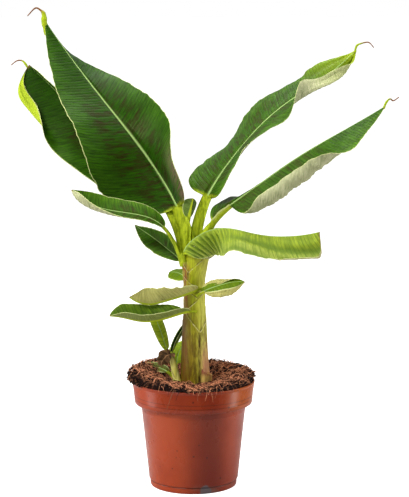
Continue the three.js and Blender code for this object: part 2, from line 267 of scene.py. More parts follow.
def buildStudio():
    bpy.ops.mesh.primitive_plane_add(size=studio["floorSize"], location=studio["floorMiddle"])
    floor = bpy.context.object
    floor.name = "floor"
    floor.data.transform(floor.matrix_world)
    floor.matrix_world.identity()
    material, tree, shader = newMaterial("floorPaper")
    seen = add(tree, "ShaderNodeLightPath").outputs["Is Camera Ray"]
    fill(tree, shader, {
        "Roughness": 0.9, "Specular IOR Level": 0.1, "Base Color": studio["floorColour"],
        "Emission Color": (1, 1, 1, 1), "Emission Strength": product(tree, seen, studio["floorGlow"])})
    floor.data.materials.append(material)
    floor.select_set(False)

    world = bpy.data.worlds.new("studioAir")
    world.use_nodes = True
    tree = world.node_tree
    direction = add(tree, "ShaderNodeTexCoord").outputs["Generated"]
    depth = add(tree, "ShaderNodeSeparateXYZ", {"Vector": direction}).outputs["Y"]
    air = between(tree, depth, -0.85, -0.1, (studio["air"]["front"], studio["air"]["back"]))
    seen = add(tree, "ShaderNodeLightPath").outputs["Is Camera Ray"]
    air = mathNode(tree, "MAXIMUM", air, product(tree, seen, studio["air"]["seen"]))
    fill(tree, tree.nodes["Background"], {"Color": (1, 1, 1, 1), "Strength": air})
    scene.world = world

    for name, light in studio["lights"].items():
        bpy.ops.object.light_add(type="AREA", location=light["place"])
        lamp = bpy.context.object
        lamp.name = name
        lamp.data.shape = "RECTANGLE"
        lamp.data.size, lamp.data.size_y = light["size"]
        lamp.data.energy = light["power"]
        aim = Vector(light["target"]) - Vector(light["place"])
        lamp.rotation_euler = aim.to_track_quat("-Z", "Y").to_euler()
        lamp.select_set(False)


buildStudio()
print("studio ready")


def makeVeinGroup():  # streaks, lines and ridges that follow the side veins of a blade
    tree, start, end = newGroup(
        "sideVeins",
        [("Map", "NodeSocketVector", None), ("Streaks", "NodeSocketFloat", 110.0),
         ("Lines", "NodeSocketFloat", 8.0)],
        [(label, "NodeSocketFloat") for label in ("Streak", "Line", "Patch", "Height")])
    place = start.outputs["Map"]
    streak = grain(tree, scaled(tree, place, (1.0, 0.06, 1.0)), start.outputs["Streaks"], 3.0, 0.65)
    patch = grain(tree, scaled(tree, place, (1.0, 0.3, 1.0)), 16.0, 4.0, 0.65)
    lines = add(tree, "ShaderNodeTexWave",
                {"Vector": place, "Scale": start.outputs["Lines"], "Distortion": 1.6, "Detail": 2.0,
                 "Detail Scale": 0.8}, wave_type="BANDS", bands_direction="X").outputs["Fac"]
    line = product(tree, between(tree, lines, 0.6, 0.95), between(tree, streak, 0.35, 0.6, (0.2, 1.0)))
    height = mathNode(tree, "SUBTRACT", product(tree, streak, 0.5), product(tree, line, 0.5))
    fill(tree, end, {"Streak": streak, "Line": line, "Patch": patch, "Height": height})
    return tree


def makeFibreGroup():  # long fibres and mottling of a stem, along Z
    tree, start, end = newGroup(
        "stemFibres",
        [("Place", "NodeSocketVector", None), ("Scale", "NodeSocketFloat", 900.0)],
        [("Fibre", "NodeSocketFloat"), ("Mottle", "NodeSocketFloat")])
    place = start.outputs["Place"]
    fibre = grain(tree, scaled(tree, place, (1.0, 1.0, 0.05)), start.outputs["Scale"], 3.0, 0.6)
    mottle = grain(tree, scaled(tree, place, (1.0, 1.0, 0.22)), 320.0, 4.0, 0.65)
    fill(tree, end, {"Fibre": fibre, "Mottle": mottle})
    return tree


veinGroup = makeVeinGroup()
fibreGroup = makeFibreGroup()


# Leaf finishes.
lookTones = ("base", "shade", "edge", "under", "underShade", "blotch")


def leafLook(blotchAmount, rough, *shades):  # the shades in the order of lookTones
    return {"blotchAmount": blotchAmount, "rough": rough, **tones(**dict(zip(lookTones, shades)))}


leafLooks = {
    "deep": leafLook(0.85, 0.34, (36, 76, 3), (14, 36, 3), (54, 98, 8),
        (120, 142, 70), (90, 116, 48), (40, 22, 8)),
    "middle": leafLook(0.6, 0.38, (58, 98, 12), (28, 54, 8), (86, 130, 20),
        (184, 182, 144), (130, 138, 94), (58, 44, 20)),
    "fresh": leafLook(0.2, 0.42, (148, 164, 46), (84, 110, 32), (168, 176, 84),
        (196, 192, 146), (150, 148, 100), (120, 130, 60)),
    "pale": leafLook(0.15, 0.42, (108, 136, 12), (64, 92, 8), (132, 154, 24),
        (200, 194, 118), (150, 146, 76), (120, 130, 60)),
    "shaded": leafLook(0.5, 0.4, (88, 116, 20), (48, 74, 12), (108, 136, 32),
        (136, 146, 78), (92, 104, 42), (40, 50, 16)),
    "lime": leafLook(0.1, 0.42, (168, 190, 36), (104, 134, 20), (186, 202, 60),
        (178, 188, 80), (128, 144, 48), (120, 130, 60)),
    "dull": leafLook(0.7, 0.55, (104, 114, 34), (56, 68, 20), (124, 126, 60),
        (134, 130, 76), (84, 80, 42), (84, 58, 34)),
    "dry": leafLook(0.7, 0.8, (104, 74, 50), (34, 22, 16), (150, 112, 78),
        (120, 86, 58), (44, 30, 22), (30, 20, 16)),
}
stalkTones = tones(light=(168, 182, 36), dark=(108, 124, 18), rib=(150, 178, 104))
# painted highlight: a pale line along the rim of each blade, as if its edge caught the light
marginTone = tone(202, 208, 138)
dryTone = tone(116, 66, 26)
youngTone = tone(166, 184, 34)
blushTone = tone(124, 92, 84)


def leafMaterial(name, look, upper):
    material, tree, shader = newMaterial(name)
    veins = useGroup(tree, veinGroup, {"Map": add(tree, "ShaderNodeUVMap", uv_map="veinMap").outputs["UV"]})
    veinStreak, veinPatch = veins.outputs["Streak"], veins.outputs["Patch"]
    across, lengthwise, young = (readValue(tree, key) for key in ("across", "lengthwise", "young"))
    streak = between(tree, veinStreak, 0.34, 0.66)
    alive = look is not leafLooks["dry"]
    if upper:
        zone = product(tree, between(tree, across, 0.75, 0.4), between(tree, lengthwise, 0.74, 0.5))
        spots = product(tree, between(tree, veinPatch, 0.44, 0.56),
                        between(tree, veinStreak, 0.42, 0.56, (0.2, 1.0)))
        spots = product(tree, product(tree, spots, zone), look["blotchAmount"])
        blush = product(tree, readValue(tree, "blush"), between(tree, veinStreak, 0.4, 0.58, (0.1, 0.8)))
        body = paint(
            tree, blend(tree, between(tree, across, 0.35, 1.0), look["base"], look["edge"]),
            (product(tree, between(tree, veinPatch, 0.4, 0.64), 0.45), look["shade"]),
            (product(tree, streak, 0.55), look["shade"]),
            (product(tree, veins.outputs["Line"], 0.6), look["shade"]),
            # painted shade in the pleat and furrow valleys
            (readValue(tree, "valley"), look["shade"]),
            (spots, look["blotch"]), (blush, blushTone),
            (product(tree, young, between(tree, lengthwise, 0.9, 1.0, (0.3, 0.8))), youngTone))
        ribTone = stalkTones["rib"]
        rough = between(tree, veinStreak, 0.2, 0.8, (look["rough"] - 0.06, look["rough"] + 0.12))
    else:
        body = paint(
            tree, blend(tree, product(tree, streak, 0.75), look["under"], look["underShade"]),
            (product(tree, between(tree, veinPatch, 0.4, 0.65), 0.3), look["underShade"]),
            (product(tree, young, 0.85), youngTone))
        ribTone = stalkTones["light"]
        rough = 0.6
    body = blend(tree, readValue(tree, "rib"), body, ribTone if alive else look["edge"])
    if alive:
        fibres = useGroup(tree, fibreGroup, {"Place": objectPlace(tree), "Scale": 500.0})
        petiole = blend(tree, between(tree, fibres.outputs["Mottle"], 0.35, 0.7),
                        stalkTones["light"], stalkTones["dark"])
        body = paint(tree, body, (readValue(tree, "stalk"), petiole),
                     # painted highlight along the blade rim
                     (product(tree, readValue(tree, "rim"), 0.85), marginTone))
    body = blend(tree, readValue(tree, "dry"), body, dryTone)
    dress(tree, shader, {"Base Color": body, "Roughness": rough, "Specular IOR Level": 0.15,
                         "Specular Tint": tone(210, 240, 150)},
          veins.outputs["Height"], 0.55 if upper else 0.8, 0.0006)
    return material


leafMaterials = {
    kind: (leafMaterial(f"{kind}LeafFace", look, True), leafMaterial(f"{kind}LeafBack", look, False))
    for kind, look in leafLooks.items()
}


def wing(width, fold, **more):  # one half of a blade
    return {"width": width, "fold": fold, **more}


# Along a leaf, from the foot of its petiole to the tip of its blade, bearing is the compass
# direction of the midrib (0 = +X, 90 = +Y), rise its slope and roll the turn about it. Each half
# of the blade is a wing: its width, the angle it folds up by and the angle it curls by at the margin.
leafDefaults = {
    "stalk": (3, 2), "stalkTurn": 0, "roll": [0], "widest": 0.4, "taper": 1.9, "round": 0.5,
    "basePleat": 0, "ragged": 0, "furrows": 0, "blush": 0, "youngFace": 1, "youngBack": 1,
}
leaves = {
    "leaf_tall_left": {
        "look": "deep", "foot": (-4, 2, 256), "petiole": 64, "blade": 270, "stalk": (10, 6.5),
        "bearing": [135, 154, 157], "rise": [85, 56, 48, 49, 53], "roll": [-80, -41, -39],
        "left": wing(63, [-30, -20, 0, 12, 4, 0, -10], widest=0.28),
        "right": wing(42, [76, 76, 33, 10, -16, -55, -90], curl=[-75, -20, 0, 0, 0, 0, 0]),
        "pleat": 0.1, "wave": 0.9, "ragged": 0.03, "blush": 0.9,
    },
    "leaf_upper_right": {
        "look": "middle", "foot": (2, 5, 262), "petiole": 70, "blade": 252, "stalk": (8, 5.5), "round": 0.38,
        "bearing": [49, 23, 22], "rise": [91, 56, 44, 30, 42], "roll": [90, 27, 15, 75],
        "left": wing(52, [-10, -16, -20, -10, 3, 2, -8, -24, -95], curl=[-23, -26, -25, -46, 57]),
        "right": wing(38, [52, 28, 9, 20, -36], widest=0.45, taper=3.5,
                      curl=[5, 15, 20, 5, 0, 70, 160, 150, 60], crease=0.5),
        "pleat": 0.12, "wave": 1.3, "ragged": 0.05, "furrows": 0.6, "young": (0.66, 0.9), "youngBack": 0.25,
    },
    "leaf_lower_right": {
        "look": "middle", "foot": (4, -3, 260), "petiole": 47, "blade": 233, "stalk": (11, 6), "taper": 1.6,
        "bearing": [2, 0, -1], "rise": [86, 40, 35, 29, 31], "roll": [-20, 0, 0], "stalkTurn": 60,
        "left": wing(42, [48, 22, -6, -24, -33, -39, -46, -52, -58, -66, -70], widest=0.5),
        "right": wing(64, [-60, -72, -66, -30, -34], start=0.12, widest=0.28, taper=2.2,
                      curl=[20, 70, 200, 240, 222, 130, 10, 5, 0], curlPower=2.2),
        "pleat": 0.1, "wave": 1.4, "ragged": 0.07, "furrows": 0.6,
    },
    "leaf_back_left": {
        "look": "deep", "foot": (-9, 10, 258), "petiole": 70, "blade": 238, "stalk": (7, 4), "widest": 0.5,
        "bearing": [147, 148, 163], "rise": [81, 47, 36, 42, 40], "roll": [-50, -50],
        "left": wing(51, [-32, -4, 8, 6, -3, -5, -5], widest=0.62, taper=9,
                     curl=[0, 0, 0, 0, 0, 95, 170, 170], crease=0.78),
        "right": wing(34, [10, 30, 95, 110]),
        "pleat": 0.08, "wave": 0.8, "young": (0.55, 0.65), "youngFace": 0, "youngEdge": 0.74,
    },
    "leaf_mid_left": {
        "look": "middle", "foot": (-11, 0, 252), "petiole": 50, "blade": 115, "stalk": (4, 2.5),
        "widest": 0.5, "taper": 3.5,
        "bearing": [195, 178, 175], "rise": [78, 54, 11, 14, 50], "roll": [-9, -33],
        "left": wing(26, [-4, 6, 15], widest=0.7, taper=5, curl=[30, 60, 160]),
        "right": wing(16, [32, 26, 31]),
        "pleat": 0.2, "wave": 0.6, "ragged": 0.04,
    },
    "leaf_front_right": {
        "look": "fresh", "foot": (-12, -10, 257), "petiole": 12, "blade": 172, "stalk": (4, 3.5),
        "widest": 0.35, "taper": 25, "round": 0.34,
        "bearing": [-35, -12, -24, -22, -16], "rise": [104, 50, 27, 4, -10, -6, 2, 8, 16],
        "left": wing(36, [-75, -78, -16, -24, -30, -38, -44, -42, -30], taper=6),
        "right": wing(35, [-85, -88, -90, -66, -30, -34, -50, -62, -76], round=0.2, widest=0.9,
                      taper=14, curl=[0, 0, -20, 0, 100, 130], crease=0.86),
        "pleat": 0.3, "basePleat": 1.7, "wave": 1.5, "ragged": 0.05, "furrows": 1.5,
    },
    "leaf_short_left": {
        "look": "middle", "foot": (-9, 11, 246), "petiole": 13, "blade": 78, "widest": 0.5,
        "bearing": [138, 138, 144], "rise": [60, 28, 27, 24, 25], "roll": [-26, -69],
        "left": wing(14, [38, -9], curl=[-79, 80]),
        "right": wing(14, [22, 60], curl=[20, 70]),
        "pleat": 0.15, "wave": 0.9, "ragged": 0.06,
    },
    "leaf_nub": {
        "look": "pale", "foot": (-6, 8, 230), "petiole": 9, "blade": 33,
        "widest": 0.5, "taper": 7,
        "bearing": [105, 122, 146], "rise": [29, 22, 3, -7], "roll": [-10],
        "left": wing(10, [-30]), "right": wing(9, [10]),
        "pleat": 0.15, "wave": 0.5, "ragged": 0.12,
    },
    "leaf_low_front": {
        "look": "pale", "foot": (9, -9.5, 229), "petiole": 5, "blade": 82,
        "widest": 0.62, "taper": 5, "round": 0.4,
        "bearing": [-150, -163, -176, -174, -172], "rise": [-18, -18, -16, -14, 12, 42],
        "left": wing(19, [45, 50, 80, 85]), "right": wing(8, [88, 86, 60, 50]),
        "pleat": 0.2, "wave": 0.8, "ragged": 0.12,
    },
    "leaf_low_right": {
        "look": "pale", "foot": (4, -11, 221), "petiole": 6, "blade": 54,
        "widest": 0.5, "taper": 3,
        "bearing": [-40, -12, -10], "rise": [30, 22, 14, -4],
        "left": wing(18, [60, 55, 25, 0], widest=0.3, taper=1.5, curl=[190, 190, 150, 60], crease=0.5),
        "right": wing(23, [-60], start=0.12, curl=[150, 150, 120], crease=0.66),
        "pleat": 0.2, "wave": 0.6, "ragged": 0.06,
    },
    "leaf_low_left": {
        "look": "shaded", "foot": (3, -11, 203), "petiole": 9, "blade": 94,
        "widest": 0.6, "taper": 3, "round": 0.6,
        "bearing": [-140, -164, -170, -166, -156], "rise": [6, -16, -6, 15, 6],
        "left": wing(16, [55, 35, 35]),
        "right": wing(21, [70, 50, 45], start=0.06),
        "pleat": 0.2, "wave": 0.8, "ragged": 0.06,
    },
    "shoot_leaf_pale": {
        "look": "lime", "foot": (-27, -2, 149), "petiole": 8, "blade": 58, "stalk": (2.2, 1.5),
        "widest": 0.6, "taper": 2,
        "bearing": [-166, -173, -161], "rise": [67, 72, 69, 76], "roll": [-70],
        "left": wing(7, [-10]), "right": wing(6, [10]),
        "pleat": 0.1, "wave": 0.2,
    },
    "shoot_leaf_dark": {
        "look": "deep", "foot": (-26.5, 0, 149), "petiole": 4, "blade": 53, "stalk": (2.2, 1.5),
        "widest": 0.5, "taper": 2,
        "bearing": [41, 41, 34], "rise": [58, 50, 48, 48],
        "left": wing(5.5, [55], curl=[60]),
        "right": wing(5.5, [55], curl=[60]),
        "pleat": 0.1, "wave": 0.2,
    },
    "shoot_leaf_broad": {
        "look": "lime", "foot": (-20, -2, 128), "petiole": 13, "blade": 36, "stalk": (2, 1.5),
        "widest": 0.5, "taper": 2,
        "bearing": [95, 75, 61, 52], "rise": [50, 55, 48, 33, 26],
        "left": wing(13, [0]), "right": wing(11, [0]),
        "pleat": 0.15, "wave": 0.4,
    },
    "ground_leaf": {
        "look": "dull", "foot": (-19, -3, 122), "petiole": 16, "blade": 44, "stalk": (3.4, 2),
        "widest": 0.6, "taper": 2,
        "bearing": [140, 138, 161, 157], "rise": [34, 14, 0, -16], "roll": [-14],
        "left": wing(7, [-10]), "right": wing(7, [10]),
        "pleat": 0.1, "wave": 0.3,
    },
}
youngLeaf = {  # not unfurled yet, seen between the petioles
    "look": "deep", "foot": (-8, 9, 262), "petiole": 44, "blade": 22, "widest": 0.6, "taper": 4,
    "bearing": [60, 20], "rise": [96, 80, 74], "roll": [-70],
    "left": wing(9, [15]), "right": wing(9, [35]),
    "pleat": 0.1, "wave": 0.3,
}
leaves["dry_sheath"] = {
    "look": "dry", "foot": (-21, -5, 151), "petiole": 4, "blade": 20, "stalk": (3, 2.5), "taper": 3,
    "bearing": [190, 200, 250], "rise": [20, -40, -88], "roll": [-20],
    "left": wing(8, [-30], curl=[-60]), "right": wing(7, [20], curl=[50]),
    "pleat": 0.4, "wave": 1.5, "ragged": 0.2, "crumple": 1.5,
}
# Dried threads at the tips of the long leaves: how far each bend lies from the tip.
threads = {
    "leaf_tall_left": {"bends": [(1, 0, -16), (-1.5, 0, -2), (-2, 0, 8), (-6, 0, 13), (-12, 0, 15),
                                 (-21, 0, 6)],
                       "radius": [2.2, 3.4, 2.6, 1.1, 0.9, 0.5]},
    "leaf_back_left": {"bends": [(0, 0, -6), (-4, 0, 1), (-8, 0, 5), (-14, 0, 5), (-21, 0, 0)],
                       "radius": [1.2, 1.4, 0.9, 0.7, 0.5]},
    "leaf_upper_right": {"bends": [(-1, 0, -3), (1, 0, 5), (7, 0, 8), (15, 0, 9), (21, 0, 3)],
                         "radius": [1.4, 1.3, 0.9, 0.7, 0.5]},
    "leaf_lower_right": {"bends": [(-2, 0, -3), (1, 0, 4), (5, 0, 8), (9, 0, 6), (15, 0, 10)],
                         "radius": [1.4, 1.3, 0.9, 0.7, 0.5]},
}
bladeMake = {
    "spineSteps": 120, "bladeSteps": 8, "opening": 0.05, "ribShare": 0.3, "channel": 0.35,
    "thick": 0.8, "rimThick": 0.45, "rimWidth": 0.9, "tipRadius": 0.6,
    "halfPoints": 22, "pleatPitch": 7, "veinSlant": 0.35, "veinBend": 0.0025, "dryFrom": 0.985,
    "threadSides": 8, "threadLevels": 28, "sharpAngle": 55,
}
leafTraces = ("across", "lengthwise", "rib", "stalk", "rim", "dry", "valley", "young", "blush")


def heading(leaf, s):
    bearing = math.radians(along(leaf["bearing"], s))
    rise = math.radians(along(leaf["rise"], s))
    return np.array((math.cos(rise) * math.cos(bearing), math.cos(rise) * math.sin(bearing), math.sin(rise)))


def spineOf(leaf):
    steps = bladeMake["spineSteps"]
    step = (leaf["petiole"] + leaf["blade"]) / steps
    points = [np.array(leaf["foot"], dtype=float)]
    for i in range(steps):
        points.append(points[-1] + heading(leaf, (i + 0.5) / steps) * step)
    return points


def stationAt(leaf, spine, s):  # place, across to the left, and up out of the upper face
    steps = bladeMake["spineSteps"]
    x = clamp(s) * steps
    i = min(int(x), steps - 1)
    place = spine[i] + (spine[i + 1] - spine[i]) * (x - i)
    forward = heading(leaf, s)
    bearing = math.radians(along(leaf["bearing"], s))
    level = np.array((-math.sin(bearing), math.cos(bearing), 0.0))
    roll = math.radians(along(leaf["roll"], s))
    across = level * math.cos(roll) + np.cross(forward, level) * math.sin(roll)
    return place, across, np.cross(forward, across)


def bladeWidth(leaf, half, t):
    widest, taper, roundness = (half.get(key, leaf[key]) for key in ("widest", "taper", "round"))
    start = half.get("start", 0)
    t = max(0.0, (t - start) / (1 - start))
    if t < widest:
        return (1 - (1 - t / widest) ** 2) ** roundness
    return max(0.0, 1 - ((t - widest) / (1 - widest)) ** taper)


def curlShare(half, size):  # how much of the curl is reached, from the midrib to the margin
    if "crease" in half:
        return smooth(half["crease"] - 0.08, half["crease"] + 0.08, size)
    return size ** half.get("curlPower", 2)


def addThread(thread, tip, points, faces, slots, values, mapped):  # a tapering, bent tube
    sides, levels = bladeMake["threadSides"], bladeMake["threadLevels"]
    start = len(points)

    def placeAt(t):
        return tip + np.array([along([bend[k] for bend in thread["bends"]], t) for k in range(3)])

    rings = []
    for i in range(levels + 1):
        t = i / levels
        ahead, behind = placeAt(t + 0.01), placeAt(t - 0.01)
        forward = (ahead - behind) / np.linalg.norm(ahead - behind)
        side = np.array((0.0, -1.0, 0.0))
        up = np.cross(forward, side)
        radius = along(thread["radius"], t) * (1 + 0.25 * ripple(i, 0, 0, 2.3))
        for k in range(sides):
            a = 2 * math.pi * k / sides
            rings.append(placeAt(t) + radius * (math.cos(a) * side + math.sin(a) * up))
        for key in values:
            value = {"young": 1.0, "lengthwise": 1.0, "dry": float(smooth(0.35, 0.65, t))}.get(key, 0.0)
            values[key] = np.append(values[key], [value] * sides)
    faces += tubeFaces(start, levels, sides)
    faces.append(tuple(start + k for k in reversed(range(sides))))
    faces.append(tuple(start + levels * sides + k for k in range(sides)))
    slots += [0] * (levels * sides + 2)
    return np.vstack([points, rings]), np.vstack([mapped, np.tile(mapped[-1], (len(rings), 1))])


def leafPiece(name, leaf, seed):
    make, leaf = bladeMake, {**leafDefaults, **leaf}
    length = leaf["petiole"] + leaf["blade"]
    spine = spineOf(leaf)
    count = make["halfPoints"]
    rimShare = 1 - make["rimWidth"] / max(leaf["left"]["width"], leaf["right"]["width"])
    shares = [rimShare * (k / count) ** 1.5 for k in range(count + 1)] + [lerp(rimShare, 1, 0.4), 1.0]
    u = np.array(shares[:0:-1] + [-value for value in shares])
    size, hand = np.abs(u), np.where(u < 0, -1.0, 1.0)
    petioleStations = max(6, int(leaf["petiole"] / 3))
    bladeStations = int(clamp(leaf["blade"] / 1.5, 40, 180))
    distances = [leaf["petiole"] * i / petioleStations for i in range(petioleStations)]
    distances += [leaf["petiole"] + leaf["blade"] * (i / bladeStations) ** 1.25
                  for i in range(bladeStations + 1)]
    steps = (np.arange(make["bladeSteps"]) + 0.5) / make["bladeSteps"]

    points, mapped, attributes = [], [], {key: [] for key in leafTraces}
    for distance in distances:
        place, across, up = stationAt(leaf, spine, distance / length)
        t = max(0.0, (distance - leaf["petiole"]) / leaf["blade"])
        inPetiole = min(distance / leaf["petiole"], 1.0)
        turn = math.radians(leaf["stalkTurn"] * (1 - inPetiole) ** 0.6)
        across, up = (across * math.cos(turn) + up * math.sin(turn),
                      up * math.cos(turn) - across * math.sin(turn))
        radius = lerp(lerp(leaf["stalk"][0], leaf["stalk"][1], inPetiole), make["tipRadius"], t)
        sideways, upward, tilt, width = (np.zeros(len(u)) for _ in range(4))
        for side, key in ((1.0, "left"), (-1.0, "right")):
            half = leaf[key]
            mine = hand == side
            tooth = ripple(distance, seed, side, 9) + 0.6 * ripple(distance, seed, side, 3.5)
            notch = leaf["ragged"] * tooth * smooth(0.05, 0.2, t)
            full = half["width"] * bladeWidth(leaf, half, t) * (1 + notch)
            fold = math.radians(along(half["fold"], t))
            curl = math.radians(along(half.get("curl", [0]), t))
            angle = fold + curl * curlShare(half, np.outer(size[mine], steps))
            sideways[mine] = side * np.cos(angle).mean(1) * size[mine] * full
            upward[mine] = np.sin(angle).mean(1) * size[mine] * full
            opening = np.minimum(np.minimum(size[mine] / make["ribShare"], 1),
                                 min(t / make["opening"], (1 - t) / make["opening"], 1))
            tilt[mine] = opening * (fold + curl * curlShare(half, size[mine]))
            width[mine] = full
        reach = size * (width + radius)  # distance from the midrib's middle
        bulge = radius * np.sqrt(np.clip(1 - (reach / radius) ** 2, 0, 1))
        normal = np.outer(-hand * np.sin(tilt), across) + np.outer(np.cos(tilt), up)
        middle = place + np.outer(sideways + radius * u, across) + np.outer(upward, up)

        # root is where the side vein through a point leaves the midrib
        root = distance - make["veinSlant"] * reach - make["veinBend"] * reach ** 2
        pleat = leaf["pleat"] + leaf["basePleat"] * (1 - smooth(0.22, 0.42, t)) * smooth(0.0, 0.04, t)
        rise = pleat * np.cos(2 * math.pi * root / make["pleatPitch"])
        rise = rise * smooth(0.08, 0.3, size) * (1 - 0.5 * smooth(0.8, 1.0, size))
        edge = np.array([ripple(distance, seed, side * 7, 24) + 0.5 * ripple(distance, seed, side * 3, 9)
                         for side in hand])
        puckered = smooth(0.3, 0.55, t) * smooth(0.1, 0.35, size) * np.sin(12 * size - 6 * t + seed)
        rise += leaf["furrows"] * puckered
        # painted shade: the deeper a pleat or furrow valley, the darker its colour
        valley = np.clip(-rise / 1.6, 0, 0.8)
        rise += leaf["wave"] * 1.6 * edge * size ** 4
        rise *= smooth(0.0, 0.06, t) * smooth(0.0, 0.06, 1 - t)
        middle = middle + normal * rise[:, None]

        thick = lerp(make["thick"], make["rimThick"], size)[:, None] * (0.5 if t < 1 else 0.3)
        top = middle + normal * thick - np.outer(bulge * make["channel"], up)
        under = middle - normal * thick - np.outer(bulge, up)
        if "crumple" in leaf:
            shove = leaf["crumple"] * np.array(
                [[ripple(*(p + shift), 4.5) for shift in (0, 31, 62)] for p in middle])
            top, under = top + shove, under + shove
        points += [top, under[::-1]]

        young = np.full(len(u), smooth(*leaf["young"], t) if "young" in leaf else 0.0)
        if "youngEdge" in leaf:  # only the folded strip of the left half
            young *= smooth(leaf["youngEdge"] - 0.06, leaf["youngEdge"] + 0.06, size) * (hand > 0)
        blush = leaf["blush"] * (1 - smooth(0.08, 0.3, t)) * smooth(0.45, 0.95, size)
        traces = {  # one row for both faces, or one for the upper and one for the lower
            "across": size, "lengthwise": np.full(len(u), t),
            "rib": (1 - smooth(0.12 * radius, 0.3 * radius + 0.35, reach),
                    1 - smooth(0.8 * radius, 1.2 * radius + 0.3, reach)),
            "stalk": np.full(len(u), 1 - smooth(0.0, 0.02, t)),
            # the rim band takes the painted highlight
            "rim": np.where(size > rimShare + 0.001, 1.0, 0.0) * smooth(0, 0.02, t),
            "dry": np.full(len(u), smooth(make["dryFrom"], 1.0, t)), "valley": valley,
            "young": (young * leaf["youngFace"], young * leaf["youngBack"]),
            "blush": np.where(hand < 0, blush, 0.0),
        }
        for key in leafTraces:
            face, back = traces[key] if isinstance(traces[key], tuple) else (traces[key], traces[key])
            attributes[key] += [face, back[::-1]]
        pair = np.stack([root / 100 + seed, hand * reach / 100], 1)
        mapped += [pair, pair[::-1]]

    ring = 2 * len(u)
    faces = tubeFaces(0, len(distances) - 1, ring)
    slots = ([0] * (len(u) - 1) + [1] * (len(u) + 1)) * (len(distances) - 1)
    points = np.concatenate(points)
    values = {key: np.concatenate(parts) for key, parts in attributes.items()}
    mapped = np.concatenate(mapped)
    for row, order in ((0, -1), (len(distances) - 1, 1)):  # close both ends
        hub = len(points)
        points = np.vstack([points, points[row * ring:(row + 1) * ring].mean(0)])
        mapped = np.vstack([mapped, mapped[row * ring]])
        for key in values:
            values[key] = np.append(values[key], values[key][row * ring])
        for j in range(ring):
            a, b = row * ring + j, row * ring + (j + 1) % ring
            faces.append((hub, b, a) if order < 0 else (hub, a, b))
            slots.append(1)
    if name in threads:
        points, mapped = addThread(threads[name], spine[-1], points, faces, slots, values, mapped)
    made = makeMesh(name + "_blade", points, faces, leafMaterials[leaf["look"]], slots)
    for key, value in values.items():
        setAttribute(made, key, value)
    setMap(made, "veinMap", mapped)
    keepSharp(made, make["sharpAngle"])
    return made


leafSlots = {"fresh": "fresh_green", "pale": "fresh_green", "lime": "fresh_green", "dry": "dry_brown"}
for seed, (name, leaf) in enumerate(leaves.items()):
    blade = leafPiece(name, leaf, seed * 3 + 1)
    finishPiece(blade, name, slot=leafSlots.get(leaf["look"], "leaf_green"))
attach(leafPiece("young_leaf", youngLeaf, 70), "root")
print("leaves ready")


stems = {
    "trunk": {
        "foot": (2, 0, 112), "top": (0.5, 0, 280),
        "radius": [16.2, 15.2, 14.3, 13.6, 13, 12.4, 12, 11.9, 12.2, 13.2, 15, 15.8, 8],
        "sway": [0, 0, 0, 0, 0, 0, 0, 0, 0, 0.3, 1.2, 2.2, 2.2],
        "sides": 160, "levels": 300, "overlap": 0.5,
        # each sheath parts into a V on the side away from its leaf: leaf's bearing, height of
        # the fork and of the petiole's foot, and how far the closed seam leans on its way down
        "sheaths": [
            {"leaf": 118, "fork": 178, "top": 228, "lean": -4.5},
            {"leaf": -20, "fork": 190, "top": 224, "lean": 4},
            {"leaf": -160, "fork": 201, "top": 231, "lean": 4},
            {"leaf": 146, "fork": 222, "top": 250, "lean": 6},
            {"leaf": 60, "fork": 246, "top": 286, "lean": 8},
        ],
    },
    "shoot": {
        "foot": (-17, -4, 112), "top": (-25, -2, 151), "radius": [4.6, 3.9, 3.4], "sway": [0, 0],
        "sides": 48, "levels": 80, "overlap": 0.3,
        "sheaths": [{"leaf": 80, "fork": 122, "top": 150, "lean": 10},
                    {"leaf": -160, "fork": 134, "top": 160, "lean": -10}],
    },
}
stemTones = tones(
    olive=(140, 122, 10), green=(176, 184, 26), tan=(76, 56, 4),
    # the last colour on this line is a painted highlight for the open sheath edges
    brown=(124, 60, 16), pink=(206, 138, 104), margin=(214, 206, 140),
    # the first colour on this line is painted shade in the grooves; pale and shaded paint light and shade on
    # the aged stem's two sides
    crevice=(52, 34, 8), pale=(218, 216, 88), shaded=(78, 76, 10),
    young=(212, 206, 92), youngPale=(238, 228, 150))


